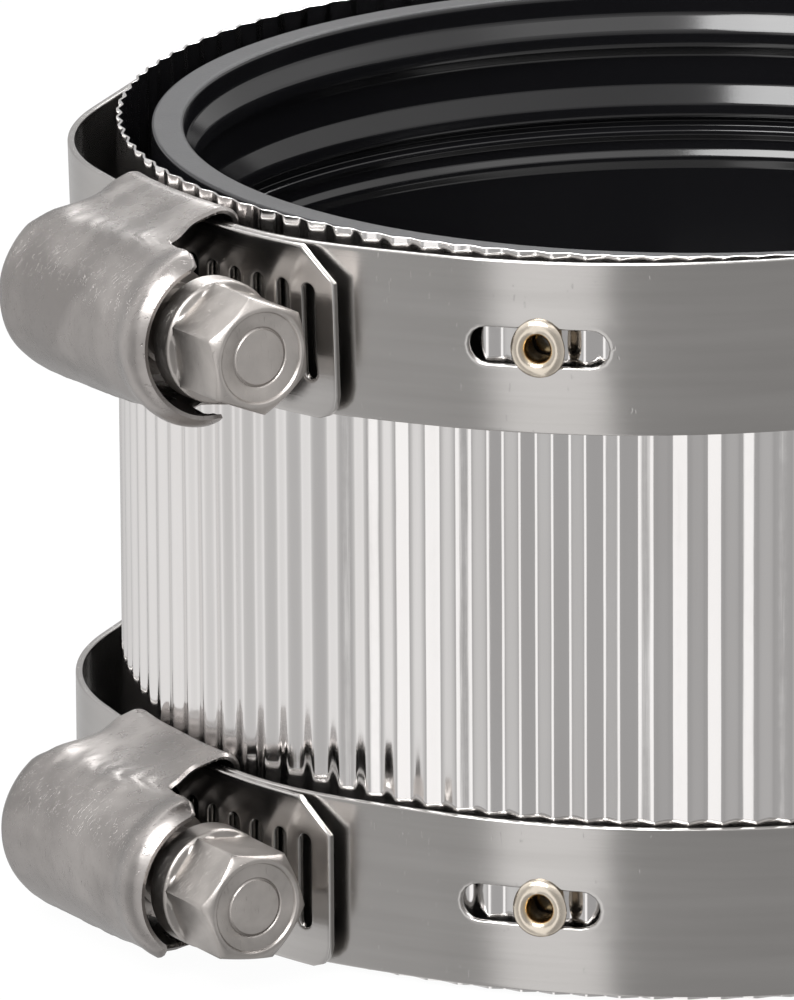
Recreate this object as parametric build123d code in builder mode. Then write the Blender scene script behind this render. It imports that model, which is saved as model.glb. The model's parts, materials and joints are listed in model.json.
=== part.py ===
from build123d import *
from math import asin, cos, degrees, hypot, radians, sin, sqrt
import os

# Shielded no-hub pipe coupling: a rubber gasket sleeve inside a corrugated stainless shield, drawn tight by
# two worm-drive clamps.  Millimetres, +Z along the pipe axis, origin on the shield's axis at mid height.
# -Y is the front.  Both clamp screws stand at the front left and point their hex heads to the front.

# ---------------------------------------------------------------- driving dimensions
half_height = 31.2  # shield, end to middle
strap_width = 14.3
strap_thick = 0.6
strap_inset = 0.5  # shield edge to the near strap edge
clamp_level = half_height - strap_inset - strap_width / 2

sheet = 0.2  # shield sheet metal
flute_count = 108
flute_depth = 0.4
flank_share = 0.38  # of one flute, for each sloping flank
crest_radius_max = 47.9
spiral_step = 0.4  # growth per turn, so that the lapped ends nest
lap_flutes = 7  # flutes that the outer end covers
seam_angle = -10  # world angle of the shield's inner end

gasket_half = 30.7
gasket_outer = 45.6
gasket_wall_inner = 42.9
rib_inner = 42.2
stop_inner = 39.2
stop_half = 1.6
gasket_shift = (0.9, -1.2)  # the loose gasket rests against the shield's front right

front = 270  # world angle of -Y
upper_turn = front - 56  # world angle of the upper housing
lower_turn = front - 57
upper_tilt = -1.4  # the upper clamp sits askew, lower on the left
upper_raise = 0.3
eyelet_angle = front - 14.3
eyelet_slot_offset = 41.8  # slot's angle from its own housing

# ---------------------------------------------------------------- clamp, in its own frame
# The housing sits on +X.  Its hex head points to +Y, and the strap enters from -Y and leaves under the head.
strap_gap = 0.35  # running gap between the shield and the strap
loop_radius = crest_radius_max + strap_gap + strap_thick / 2
tail_radius = 60.0  # the tail's own arc, flatter than the loop
tail_mid = 50.1  # distance of the tail's middle from the shield's axis
tail_centre = tail_mid - tail_radius
layer_gap = 0.1
under_mid = tail_mid - strap_thick - layer_gap
under_radius = under_mid - tail_centre
under_end_y = -8.0
under_leave_y = 9.0
under_land_angle = 31.0
tail_tip_y = 19.0
tail_root_y = -12.7
slots_toward_tip = 6
slots_toward_root = 4
bulge_land_angle = -54.0
bulge_radius = 27.0
bulge_end_y = -21.0  # the loop's free end stands back, so that the loosened tail doesn't reach it
bulge_leave_y = -9.0

worm_pitch = 2.8
slot_width = 1.35  # wide enough for the slant of the thread, so the slots stand straight
slot_length = 8.0
tip_chamfer_y = 3.3
tip_chamfer_z = 2.8

eyelet_bore = 1.05
eyelet_shank = 1.4
eyelet_flange = 2.35
float_slot_width = 3.1
float_slot_length = 11.7

# ---------------------------------------------------------------- screw and housing
worm_crest = 4.6
worm_core = 3.4
worm_bite = 0.5  # how far the thread reaches into the tail
screw_x = tail_mid + strap_thick / 2 + worm_crest - worm_bite
screw_z = -0.45  # the dome and its screw sit a little below the strap's middle
thread_turns_far = 3  # counted from the middle of the housing
thread_turns_near = 2
thread_root_width = 1.15
thread_crest_width = 0.55
screw_far_y = -10.2
neck_radius = 3.0
collar_radius = 5.1
collar_from_y = 11.7
collar_thick = 1.7
hex_across_flats = 8.73
hex_height = 6.1
hex_chamfer = 0.6
face_recess_radius = 3.8
face_recess_depth = 0.3
face_disc_radius = 2.45
upper_hex_turn = 6
lower_hex_turn = 22

dome_clear = 0.9
dome_inner = worm_crest + dome_clear
housing_sheet = 0.9
dome_outer = dome_inner + housing_sheet
housing_far_y = -11.4
housing_near_y = 11.2
far_round = 2.8
lip_flare = 0.7
lip_length = 1.2
web_from_y = 6.5  # the wall that the screw's neck turns in
web_to_y = 7.4
wing_near_y = 6.0
wing_far_y = -9.4
wing_crease_z = 5.2
wing_rise = 1.2  # the wings slope up from the strap's edges to the dome
edge_round = 0.5
side_gap = 0.2  # between the strap and the housing's channel
roof_gap = 0.15
wing_below = 0.7  # how far the wings reach below the strap
channel_side = strap_width / 2 + side_gap
wing_side = channel_side + housing_sheet
channel_floor = under_mid - strap_thick / 2 - layer_gap
channel_roof = tail_mid + strap_thick / 2 + roof_gap
wing_floor = channel_floor - wing_below
wing_roof = channel_roof + housing_sheet
curl_reach = 2.6  # how far the wings curl in under the strap
neck_clear = 0.08
saddle_gap = 0.1


def polar(radius, angle):
    return (radius * cos(radians(angle)), radius * sin(radians(angle)))


def tail_x(y):
    """X of the tail's middle at height y on its arc."""
    return tail_centre + sqrt(tail_radius**2 - y**2)


def offset_outline(points, distance):
    """A polyline moved sideways by distance, with mitred corners."""
    moved = []
    for i, (x, y) in enumerate(points):
        before = points[max(i - 1, 0)]
        after = points[min(i + 1, len(points) - 1)]
        normals = []
        for start, end in ((before, (x, y)), ((x, y), after)):
            length = hypot(end[0] - start[0], end[1] - start[1])
            if length > 0:
                normals.append(((start[1] - end[1]) / length, (end[0] - start[0]) / length))
        nx = sum(n[0] for n in normals) / len(normals)
        ny = sum(n[1] for n in normals) / len(normals)
        stretch = distance / (nx**2 + ny**2)
        moved.append((x + nx * stretch, y + ny * stretch))
    return moved


# ---------------------------------------------------------------- gasket
def rib(below_end, slope, crest, fall):
    """Profile points of one sealing rib that starts below_end inside the gasket's end, going down."""
    top = gasket_half - below_end
    return [
        (gasket_wall_inner, top),
        (rib_inner, top - slope),
        (rib_inner, top - slope - crest),
        (gasket_wall_inner, top - slope - crest - fall),
    ]


lip_round = 0.35
stop_slope = 1.5
with BuildPart() as gasket:
    with BuildSketch(Plane(origin=(*gasket_shift, 0), x_dir=(1, 0, 0), z_dir=(0, -1, 0))):
        with BuildLine():
            Polyline(
                (gasket_outer, 0),
                (gasket_outer, gasket_half),
                (gasket_wall_inner, gasket_half),
                *rib(below_end=2.2, slope=1.5, crest=0.6, fall=0.8),
                *rib(below_end=8.9, slope=1.4, crest=0.5, fall=0.5),
                *rib(below_end=11.6, slope=0.5, crest=0.4, fall=0.5),
                *rib(below_end=13.6, slope=0.6, crest=0.4, fall=0.6),
                (gasket_wall_inner, stop_half + stop_slope),
                (stop_inner, stop_half),
                (stop_inner, 0),
                close=True,
            )
        profile = make_face()
        fillet(profile.vertices().group_by(Axis.Y)[-1], lip_round)
    revolve(axis=Axis((*gasket_shift, 0), (0, 0, 1)))
    mirror(about=Plane.XY)

# ---------------------------------------------------------------- shield
flute_angle = 360 / flute_count
turn_flutes = flute_count + lap_flutes
crest_radius_min = crest_radius_max - spiral_step * turn_flutes / flute_count
flat_share = 0.5 - flank_share


def shield_radius(angle, depth=0.0):
    """Outer radius of a crest at an angle from the seam, less depth."""
    return crest_radius_min + spiral_step * angle / 360 - depth


outline = []
for flute in range(turn_flutes):
    for share, depth in ((0, 0), (flat_share, 0), (0.5, flute_depth), (0.5 + flat_share, flute_depth)):
        angle = (flute + share) * flute_angle
        outline.append(polar(shield_radius(angle, depth), seam_angle + angle))
eyelet_hole_clear = 0.08
# The upper strap slopes past its eyelet, which stands in the middle of the strap.
slope_drop = loop_radius * cos(radians(eyelet_angle)) * sin(radians(upper_tilt))
eyelet_level = {"upper": clamp_level + upper_raise - slope_drop, "lower": -clamp_level}
with BuildPart() as shield:
    with BuildSketch():
        with BuildLine():
            Polyline(*outline, *reversed(offset_outline(outline, sheet)), close=True)
        make_face()
    extrude(amount=half_height, both=True)
    for level in eyelet_level.values():
        with BuildSketch(Plane(origin=(0, 0, level), x_dir=(0, 0, 1), z_dir=(*polar(1, eyelet_angle), 0))):
            Circle(eyelet_shank + eyelet_hole_clear)
        extrude(amount=crest_radius_max + 1, mode=Mode.SUBTRACT)

# ---------------------------------------------------------------- strap loop
bulge_heading = degrees(asin(-bulge_leave_y / tail_radius))
bulge_turn = -bulge_land_angle - bulge_heading
bulge_start = Vector(tail_x(bulge_leave_y), bulge_leave_y)
bulge_land = Vector(*polar(loop_radius, bulge_land_angle))
# The bulge's corner is where the straight run past the housing meets the tangent of the loop.
out_dir = Vector(-sin(radians(bulge_heading)), -cos(radians(bulge_heading)))
back_dir = Vector(*polar(1, bulge_land_angle + 90))
gap = bulge_start - bulge_land
along = (gap.X * out_dir.Y - gap.Y * out_dir.X) / (back_dir.X * out_dir.Y - back_dir.Y * out_dir.X)
bulge_corner = bulge_land + back_dir * along
bulge_middle = (bulge_land_angle - bulge_heading) / 2
bulge_depth = bulge_radius / cos(radians(bulge_turn / 2))
bulge_centre = bulge_corner - Vector(*polar(bulge_depth, bulge_middle))
free_end_angle = degrees(asin((bulge_end_y - bulge_centre.Y) / bulge_radius))
under_from = degrees(asin(under_end_y / under_radius))
under_leave = degrees(asin(under_leave_y / under_radius))


def strap_side(shift):
    """One face of the strap loop, shift away from its middle; returns its two ends."""
    under = CenterArc((tail_centre, 0), under_radius + shift, under_from, under_leave - under_from)
    sweep_angle = 360 + bulge_land_angle - under_land_angle
    around = CenterArc((0, 0), loop_radius + shift, under_land_angle, sweep_angle)
    Spline(under @ 1, around @ 0, tangents=(under % 1, around % 0))
    bulge = CenterArc(bulge_centre, bulge_radius + shift, bulge_land_angle, free_end_angle - bulge_land_angle)
    Line(around @ 1, bulge @ 0)
    return under @ 0, bulge @ 1


with BuildPart() as band:
    with BuildSketch():
        with BuildLine():
            inner_ends = strap_side(-strap_thick / 2)
            outer_ends = strap_side(strap_thick / 2)
            Line(inner_ends[0], outer_ends[0])
            Line(inner_ends[1], outer_ends[1])
        make_face()
    extrude(amount=strap_width / 2, both=True)
    slot_x_dir = (*polar(1, eyelet_slot_offset + 90), 0)
    with BuildSketch(Plane(origin=(0, 0, 0), x_dir=slot_x_dir, z_dir=(*polar(1, eyelet_slot_offset), 0))):
        SlotOverall(float_slot_length, float_slot_width)
    extrude(amount=loop_radius + strap_width, mode=Mode.SUBTRACT)


def tail_plane(y):
    """Plane through the tail centre's axis: local x runs outward through height y on the arc."""
    angle = asin(y / tail_radius)
    outward = (cos(angle), sin(angle), 0)
    return Plane(origin=(tail_centre, 0, 0), x_dir=outward, z_dir=(outward[1], -outward[0], 0))


def arc_degrees(from_y, to_y):
    return degrees(asin(to_y / tail_radius) - asin(from_y / tail_radius))


tail_axis = Axis((tail_centre, 0, 0), (0, 0, 1))

# ---------------------------------------------------------------- tail
with BuildPart() as band_tail:
    with BuildSketch(tail_plane(tail_root_y)):
        with Locations((tail_radius, 0)):
            Rectangle(strap_thick, strap_width)
    revolve(axis=tail_axis, revolution_arc=arc_degrees(tail_root_y, tail_tip_y))
    tip_corners = band_tail.edges().filter_by(Axis.X, tolerance=30).group_by(Axis.Y)[-1]
    chamfer(tip_corners, length=tip_chamfer_z, length2=tip_chamfer_y)
    for slot in range(-slots_toward_root, slots_toward_tip + 1):
        outward = degrees(slot * worm_pitch / tail_radius)
        mouth = Plane(
            origin=(tail_centre, 0, 0),
            x_dir=(-sin(radians(outward)), cos(radians(outward)), 0),
            z_dir=(cos(radians(outward)), sin(radians(outward)), 0),
        )
        with BuildSketch(mouth):
            SlotOverall(slot_length, slot_width, rotation=90)
        extrude(amount=tail_radius + strap_thick, mode=Mode.SUBTRACT)

# ---------------------------------------------------------------- saddle
floor_radius = channel_floor - tail_centre
roof_radius = channel_roof - tail_centre
wing_floor_radius = wing_floor - tail_centre
wing_roof_radius = wing_roof - tail_centre
saddle_half = channel_side - curl_reach - saddle_gap
with BuildPart() as saddle:
    with BuildSketch(tail_plane(wing_far_y)):
        with Locations(((floor_radius + wing_floor_radius) / 2, 0)):
            Rectangle(floor_radius - wing_floor_radius, 2 * saddle_half)
    revolve(axis=tail_axis, revolution_arc=arc_degrees(wing_far_y, wing_near_y))

# ---------------------------------------------------------------- housing
across = Plane(origin=(screw_x, housing_near_y, screw_z), x_dir=(1, 0, 0), z_dir=(0, -1, 0))


def dome_section(radius):
    """Round section about the screw's axis, cut off level with the roof of the strap channel."""
    Circle(radius)
    with Locations((channel_roof - screw_x, 0)):
        Rectangle(3 * radius, 3 * radius, align=(Align.MAX, Align.CENTER), mode=Mode.SUBTRACT)


with BuildPart() as housing:
    with BuildSketch(across):
        dome_section(dome_outer)
    extrude(amount=housing_near_y - housing_far_y)
    fillet(housing.edges().filter_by(GeomType.CIRCLE).group_by(Axis.Y)[0], far_round)
    with BuildSketch(across):
        dome_section(dome_outer + lip_flare)
    extrude(amount=lip_length)
    with BuildSketch(tail_plane(wing_far_y)):
        with BuildLine():
            Polyline(
                (roof_radius, 0),
                (wing_roof_radius + wing_rise, 0),
                (wing_roof_radius + wing_rise, wing_crease_z),
                (wing_roof_radius, wing_side),
                (wing_floor_radius, wing_side),
                (wing_floor_radius, channel_side - curl_reach),
                (floor_radius, channel_side - curl_reach),
                (floor_radius, channel_side),
                (roof_radius, channel_side),
                close=True,
            )
        wing = make_face()
        fillet(wing.vertices().group_by(Axis.Y)[-1], edge_round)
        mirror(about=Plane.XZ)
    revolve(axis=tail_axis, revolution_arc=arc_degrees(wing_far_y, wing_near_y))
    with BuildSketch(across):
        Circle(dome_inner)
    extrude(amount=housing_near_y - web_to_y, mode=Mode.SUBTRACT)
    with BuildSketch(across.offset(housing_near_y - web_to_y)):
        Circle(neck_radius + neck_clear)
    extrude(amount=web_to_y - web_from_y, mode=Mode.SUBTRACT)
    with BuildSketch(across.offset(housing_near_y - web_from_y)):
        Circle(dome_inner)
    extrude(amount=web_from_y - housing_far_y - housing_sheet, mode=Mode.SUBTRACT)

# ---------------------------------------------------------------- screw
thread_from_y = -thread_turns_far * worm_pitch
thread_to_y = thread_turns_near * worm_pitch
collar_to_y = collar_from_y + collar_thick
head_to_y = collar_to_y + hex_height
root_overlap = 0.1
dimple_radius = 0.8
worm_gap = 0.15  # between the worm's shoulder and the wall it bears on


def along_screw(y, turn=0):
    """Plane across the screw at height y, facing the head; local x runs toward the tail."""
    return Plane(origin=(screw_x, y, screw_z), x_dir=(-cos(radians(turn)), 0, sin(radians(turn))), z_dir=(0, 1, 0))


def build_screw(hex_turn):
    """The worm screw, with its hex head turned by hex_turn degrees about its axis."""
    helix = along_screw(thread_from_y).location * Helix(worm_pitch, thread_to_y - thread_from_y, worm_core)
    with BuildPart() as screw:
        with BuildSketch(along_screw(screw_far_y)):
            Circle(worm_core)
        extrude(amount=web_from_y - worm_gap - screw_far_y)
        with BuildSketch(along_screw(web_from_y - worm_gap)):
            Circle(neck_radius)
        extrude(amount=collar_from_y - web_from_y + worm_gap)
        with BuildSketch(along_screw(collar_from_y)):
            Circle(collar_radius)
        extrude(amount=collar_thick)
        with BuildSketch(along_screw(collar_to_y, hex_turn)):
            RegularPolygon(hex_across_flats / 2, 6, major_radius=False)
        extrude(amount=hex_height)
        top = screw.faces().sort_by(Axis.Y)[-1]
        chamfer(top.edges(), length=hex_chamfer / 2, length2=hex_chamfer)
        with BuildSketch(along_screw(head_to_y)):
            Circle(face_recess_radius)
            Circle(face_disc_radius, mode=Mode.SUBTRACT)
            Circle(dimple_radius)
        extrude(amount=-face_recess_depth, mode=Mode.SUBTRACT)
        side = Plane(origin=(screw_x, thread_from_y, screw_z), x_dir=(-1, 0, 0), z_dir=(0, 0, -1))
        with BuildSketch(side):
            with BuildLine():
                Polyline(
                    (worm_core - root_overlap, -thread_root_width / 2),
                    (worm_crest, -thread_crest_width / 2),
                    (worm_crest, thread_crest_width / 2),
                    (worm_core - root_overlap, thread_root_width / 2),
                    close=True,
                )
            make_face()
        sweep(path=helix, is_frenet=True)
    return screw.part

# ---------------------------------------------------------------- eyelet
flange_thick = 0.4
outer_flange_from = loop_radius + strap_thick / 2 + 0.1
inner_flange_from = 46.6
with BuildPart() as eyelet:
    for start, thick in ((outer_flange_from, flange_thick), (inner_flange_from, flange_thick)):
        with BuildSketch(Plane.YZ.offset(start)):
            Circle(eyelet_flange)
        extrude(amount=thick)
    with BuildSketch(Plane.YZ.offset(inner_flange_from)):
        Circle(eyelet_shank)
    extrude(amount=outer_flange_from + flange_thick - inner_flange_from)
    rims = eyelet.edges().filter_by(GeomType.CIRCLE).filter_by(lambda e: e.radius > eyelet_shank + 0.1)
    fillet(rims.group_by(Axis.X)[-1], flange_thick / 2)
    with BuildSketch(Plane.YZ.offset(inner_flange_from)):
        Circle(eyelet_bore)
    extrude(amount=crest_radius_max, mode=Mode.SUBTRACT)

# ---------------------------------------------------------------- export
os.makedirs("parts", exist_ok=True)


def save(solid, name):
    solid.label = name
    export_step(solid, f"parts/{name}.step")


save(gasket.part, "gasket")
save(shield.part, "shield")
clamps = (
    ("upper", upper_turn, Location((0, 0, clamp_level + upper_raise), (0, upper_tilt, 0)), upper_hex_turn),
    ("lower", lower_turn, Location((0, 0, -clamp_level)), lower_hex_turn),
)
for side, turn, seat, hex_turn in clamps:
    place = seat * Location((0, 0, 0), (0, 0, turn))
    pieces = {
        "band": band.part,
        "band_tail": band_tail.part,
        "saddle": saddle.part,
        "housing": housing.part,
        "screw": build_screw(hex_turn),
    }
    for name, solid in pieces.items():
        save(place * solid, f"{side}_{name}")
    save(Location((0, 0, eyelet_level[side]), (0, 0, eyelet_angle)) * eyelet.part, f"{side}_eyelet")
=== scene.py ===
import json
import math
from bisect import bisect_left

import bpy
from mathutils import Matrix, Vector, noise
from mathutils.geometry import delaunay_2d_cdt, interpolate_bezier


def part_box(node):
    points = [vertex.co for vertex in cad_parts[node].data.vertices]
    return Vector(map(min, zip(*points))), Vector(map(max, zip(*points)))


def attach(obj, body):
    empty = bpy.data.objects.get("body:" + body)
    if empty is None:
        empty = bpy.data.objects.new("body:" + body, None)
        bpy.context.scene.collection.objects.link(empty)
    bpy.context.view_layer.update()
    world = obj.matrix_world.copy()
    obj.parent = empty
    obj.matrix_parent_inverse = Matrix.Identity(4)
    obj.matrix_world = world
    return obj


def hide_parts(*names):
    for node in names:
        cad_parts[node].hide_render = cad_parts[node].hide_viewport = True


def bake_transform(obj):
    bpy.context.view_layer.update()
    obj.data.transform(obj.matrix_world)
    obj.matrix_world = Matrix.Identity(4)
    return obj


# A shielded no-hub pipe coupling. Lengths are millimetres until a mesh is made; the frame is in metres.
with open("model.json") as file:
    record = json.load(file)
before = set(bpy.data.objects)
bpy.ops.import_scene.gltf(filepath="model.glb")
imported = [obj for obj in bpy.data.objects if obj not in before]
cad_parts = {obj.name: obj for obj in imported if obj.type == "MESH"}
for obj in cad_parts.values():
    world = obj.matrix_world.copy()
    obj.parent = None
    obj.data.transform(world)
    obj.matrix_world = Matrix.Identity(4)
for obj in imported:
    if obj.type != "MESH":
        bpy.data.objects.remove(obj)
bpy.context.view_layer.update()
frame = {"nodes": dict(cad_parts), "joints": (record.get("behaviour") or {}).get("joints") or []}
MM = 0.001
SIDES = ("upper", "lower")


# ---------------- small helpers
def size_mm(node):
    """Lowest and highest corner of a CAD node, in millimetres."""
    low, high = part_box(node)
    return low / MM, high / MM


def smoothstep(low, high, value):
    t = min(max((value - low) / (high - low), 0.0), 1.0)
    return t * t * (3 - 2 * t)


def lerp(a, b, t):
    return a + (b - a) * t


def spread(start, end, step):
    """Evenly spaced values from start to end, both included, about step apart."""
    count = max(1, math.ceil(abs(end - start) / step))
    return [lerp(start, end, i / count) for i in range(count + 1)]


def polar(radius, degrees_):
    """Point of a plane at a radius and an angle in degrees."""
    return Vector((radius * math.cos(math.radians(degrees_)), radius * math.sin(math.radians(degrees_))))


def make_object(name, verts, faces, place=None, crease=35, weighted=True, uvs=None):
    """A smooth-shaded mesh from points in millimetres, put into the frame by a matrix in millimetres."""
    place = place or Matrix.Identity(4)
    mesh = bpy.data.meshes.new(name)
    mesh.from_pydata([tuple((place @ Vector(v)) * MM) for v in verts], [], faces)
    if uvs:
        layer = mesh.uv_layers.new(name="sheet")
        for loop in mesh.loops:
            layer.data[loop.index].uv = uvs[loop.vertex_index]
    mesh.validate()
    mesh.update()
    mesh.polygons.foreach_set("use_smooth", [True] * len(mesh.polygons))
    mesh.set_sharp_from_angle(angle=math.radians(crease))
    obj = bpy.data.objects.new(name, mesh)
    bpy.context.scene.collection.objects.link(obj)
    if weighted:
        obj.modifiers.new("weighted", "WEIGHTED_NORMAL").keep_sharp = True
    return obj


def round_corners(points, radii, arc_step=15):
    """A closed polyline with each corner rounded; radii has one entry per corner, arc_step is in degrees."""
    made = []
    count = len(points)
    for i, radius in enumerate(radii):
        before = Vector(points[i - 1])
        corner = Vector(points[i])
        after = Vector(points[(i + 1) % count])
        to_before = before - corner
        to_after = after - corner
        opening = to_before.angle(to_after)
        cut = radius / math.tan(opening / 2)
        cut = min(cut, 0.49 * to_before.length, 0.49 * to_after.length)
        start = corner + to_before.normalized() * cut
        end = corner + to_after.normalized() * cut
        steps = max(2, math.ceil(math.degrees(math.pi - opening) / arc_step))
        for k in range(steps + 1):
            t = k / steps
            made.append(tuple(start * (1 - t) ** 2 + corner * (2 * t * (1 - t)) + end * t**2))
    return made


def lathe(profile, segments, centre=(0, 0)):
    """Closed ring swept from a closed (radius, height) profile about an axis along Z."""
    verts = []
    faces = []
    count = len(profile)
    for i in range(segments):
        for radius, height in profile:
            verts.append((*(Vector(centre) + polar(radius, 360 * i / segments)), height))
    for i in range(segments):
        for j in range(count):
            ahead, after = (j + 1) % count, (i + 1) % segments
            faces.append((i * count + j, after * count + j, after * count + ahead, i * count + ahead))
    return verts, faces


def grid_normal(rows, i, j):
    """Normal of a grid of points at rows[i][j], square to its ways along the column and the row."""
    along = rows[min(i + 1, len(rows) - 1)][j] - rows[max(i - 1, 0)][j]
    across = rows[i][min(j + 1, len(rows[i]) - 1)] - rows[i][max(j - 1, 0)]
    return along.cross(across).normalized()


def thick_sheet(rows, thickness, edge_bulge, holes=()):
    """A closed sheet from a grid of outer points, rows[i][j], offset inward along its normals.

    The sheet's rim bulges out by a share of its thickness. A hole is given by the first and the last
    (row, column) of the cells left out.
    """
    n_rows = len(rows)
    n_cols = len(rows[0])
    outer = []
    inner = []
    for i, row in enumerate(rows):
        outer += row
        inner += [point - grid_normal(rows, i, j) * thickness for j, point in enumerate(row)]
    verts = outer + inner
    back = len(outer)

    def skipped(i, j):
        return any(r0 <= i < r1 and c0 <= j < c1 for (r0, c0), (r1, c1) in holes)

    def way_round(first, last):
        """Indices of the points round a block of cells."""
        (r0, c0), (r1, c1) = first, last
        return (
            [i * n_cols + c0 for i in range(r0, r1)]
            + [r1 * n_cols + j for j in range(c0, c1)]
            + [i * n_cols + c1 for i in range(r1, r0, -1)]
            + [r0 * n_cols + j for j in range(c1, c0, -1)]
        )

    faces = []
    for i in range(n_rows - 1):
        for j in range(n_cols - 1):
            if skipped(i, j):
                continue
            a, d = i * n_cols + j, (i + 1) * n_cols + j
            faces.append((a, d, d + 1, a + 1))
            faces.append((back + a, back + a + 1, back + d + 1, back + d))
    rim = way_round((0, 0), (n_rows - 1, n_cols - 1))[::-1]
    for loop, bulge in [(rim, edge_bulge)] + [(way_round(*hole), 0) for hole in holes]:
        bulged = []
        for k, index in enumerate(loop):
            ahead = outer[loop[(k + 1) % len(loop)]] - outer[loop[k - 1]]
            through = outer[index] - inner[index]
            out = ahead.cross(through).normalized() * (through.length * bulge)
            bulged.append(len(verts))
            verts.append((outer[index] + inner[index]) / 2 - out)
        for k in range(len(loop)):
            a, b = loop[k], loop[(k + 1) % len(loop)]
            m, n = bulged[k], bulged[(k + 1) % len(loop)]
            faces.append((a, b, n, m))
            faces.append((m, n, back + b, back + a))
    return verts, faces


def finish_piece(obj, material):
    """Give the piece one material."""
    obj.data.materials.clear()
    obj.data.materials.append(material)


def stand_in(obj, node, body):
    """The piece stands for a CAD node and moves with a body."""
    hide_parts(node)
    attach(obj, body)


# ---------------- materials
def supply(tree, socket, value):
    """Link another node's output into an input, or set the input's value; a colour gets its alpha here."""
    if isinstance(value, bpy.types.NodeSocket):
        tree.links.new(value, socket)
    elif socket.type == "RGBA" and len(value) == 3:
        socket.default_value = (*value, 1)
    else:
        socket.default_value = value


def add_node(tree, kind, inputs=None, **settings):
    """A shader node with its settings, and its inputs supplied."""
    made = tree.nodes.new(kind)
    for key, value in settings.items():
        setattr(made, key, value)
    for key, value in (inputs or {}).items():
        supply(tree, made.inputs[key], value)
    return made


def calc(tree, operation, *values):
    return add_node(tree, "ShaderNodeMath", dict(enumerate(values)), operation=operation).outputs[0]


def separate(tree, vector):
    return list(add_node(tree, "ShaderNodeSeparateXYZ", {"Vector": vector}).outputs)


def object_position(tree):
    return add_node(tree, "ShaderNodeTexCoord").outputs["Object"]


def ramp(tree, factor, stops):
    """Linear ramp of greys; stops are (position, grey)."""
    made = add_node(tree, "ShaderNodeValToRGB", {"Fac": factor})
    elements = made.color_ramp.elements
    while len(elements) < len(stops):
        elements.new(0.5)
    for element, (position, grey) in zip(elements, stops):
        element.position = position
        element.color = (grey, grey, grey, 1)
    return made.outputs[0]


def stretched_noise(tree, vector, scale, stretch, detail, distortion=0.0):
    """Noise over a coordinate; scale is in cells per unit along each stretched axis."""
    mapping = add_node(tree, "ShaderNodeMapping", {"Vector": vector, "Scale": stretch})
    made = add_node(
        tree,
        "ShaderNodeTexNoise",
        {"Vector": mapping.outputs[0], "Scale": scale, "Detail": detail, "Distortion": distortion},
    )
    return made.outputs[0]


def mix_colour(tree, factor, a, b):
    """Colour a where the factor is 0 and b where it is 1."""
    return add_node(tree, "ShaderNodeMix", {0: factor, 6: a, 7: b}, data_type="RGBA").outputs[2]


def new_material(name):
    material = bpy.data.materials.new(name)
    material.use_nodes = True
    tree = material.node_tree
    return material, tree, tree.nodes["Principled BSDF"]


def feed(tree, shader, **inputs):
    """Supply the shader's inputs by short names."""
    names = {
        "colour": "Base Color",
        "roughness": "Roughness",
        "metallic": "Metallic",
        "normal": "Normal",
        "anisotropic": "Anisotropic",
        "tangent": "Tangent",
        "specular": "Specular IOR Level",
    }
    for key, value in inputs.items():
        supply(tree, shader.inputs[names[key]], value)


def bump(tree, height, distance, strength):
    inputs = {"Height": height, "Distance": distance, "Strength": strength}
    return add_node(tree, "ShaderNodeBump", inputs).outputs[0]


def scratches(tree, vector, scale, turn, density):
    """Thin straight lines in one direction, as a mask."""
    mapped = add_node(tree, "ShaderNodeMapping", {"Vector": vector, "Rotation": turn, "Scale": (1, 14, 1)})
    settings = {"Vector": mapped.outputs[0], "Scale": scale, "Detail": 2.0, "Roughness": 0.7}
    cells = add_node(tree, "ShaderNodeTexNoise", settings)
    return ramp(tree, cells.outputs[0], [(0.0, 0.0), (density, 0.0), (density + 0.03, 1.0)])


def steel_material(name, tint, rough, mottle, wear, crevice_shade):
    """Bare steel: mottled satin reflection, fine scratches and a little painted shade in the crevices."""
    material, tree, shader = new_material(name)
    position = object_position(tree)

    def darker(share):
        return tuple(c * share for c in tint)

    cloud = stretched_noise(tree, position, 420, (1, 1, 1), 5.0)
    fine = stretched_noise(tree, position, 2600, (1, 1, 1), 4.0)
    patches = stretched_noise(tree, position, 110, (1, 1, 1), 4.0, 0.6)
    one_way = scratches(tree, position, 900, (0.3, 0.9, 0.4), 0.66)
    other_way = scratches(tree, position, 700, (1.1, 0.2, 2.1), 0.67)
    marks = calc(tree, "MAXIMUM", one_way, other_way)
    colour = mix_colour(tree, cloud, darker(1 - mottle), tint)
    stain = ramp(tree, patches, [(0.38, 0.0), (0.62, 1.0)])
    colour = mix_colour(tree, stain, darker(1 - 1.3 * mottle), colour)
    # Painted shade: where ambient occlusion finds a crevice, the colour is darkened toward a dark tint.
    hollow = add_node(tree, "ShaderNodeAmbientOcclusion", {"Distance": 2.2 * MM}, samples=6).outputs["AO"]
    unshaded_share = ramp(tree, hollow, [(0.15, 1.0 - crevice_shade), (0.75, 1.0)])
    colour = mix_colour(tree, unshaded_share, darker(0.3), colour)
    roughness = calc(tree, "MULTIPLY_ADD", cloud, 0.24, rough - 0.12)
    roughness = calc(tree, "MULTIPLY_ADD", marks, -0.06, roughness)
    roughness = calc(tree, "MULTIPLY_ADD", patches, 0.16, roughness)
    height = calc(tree, "MULTIPLY_ADD", fine, 0.35, calc(tree, "MULTIPLY", marks, -wear))
    normal = bump(tree, height, 0.04 * MM, 0.55)
    feed(tree, shader, colour=colour, metallic=1.0, roughness=roughness, normal=normal)
    return material


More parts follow.
